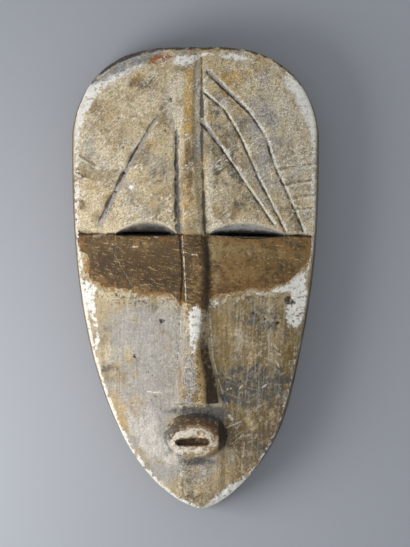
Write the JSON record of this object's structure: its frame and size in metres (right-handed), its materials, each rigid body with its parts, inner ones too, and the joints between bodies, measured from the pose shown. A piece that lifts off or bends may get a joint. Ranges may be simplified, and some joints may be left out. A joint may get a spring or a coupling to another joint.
{
  "type": "carved face mask",
  "caption": "Carved wooden face mask with a tall rounded forehead, pointed chin, narrow eye slits, long ridge nose, small tube mouth and a hollowed back.",
  "frame": {"origin": "middle of the footprint, on the surface that the back rim lies on", "axes": "+Z out of the face, +Y to the crown, +X to the right as seen from the front"},
  "size_m": [0.15, 0.279, 0.0527],
  "materials": {
    "clayed_wood": "dry, worn wood rubbed with white clay, with a brown painted band across the eyes"
  },
  "bodies": {
    "root": {"mask": "clayed_wood"}
  },
  "joints": []
}
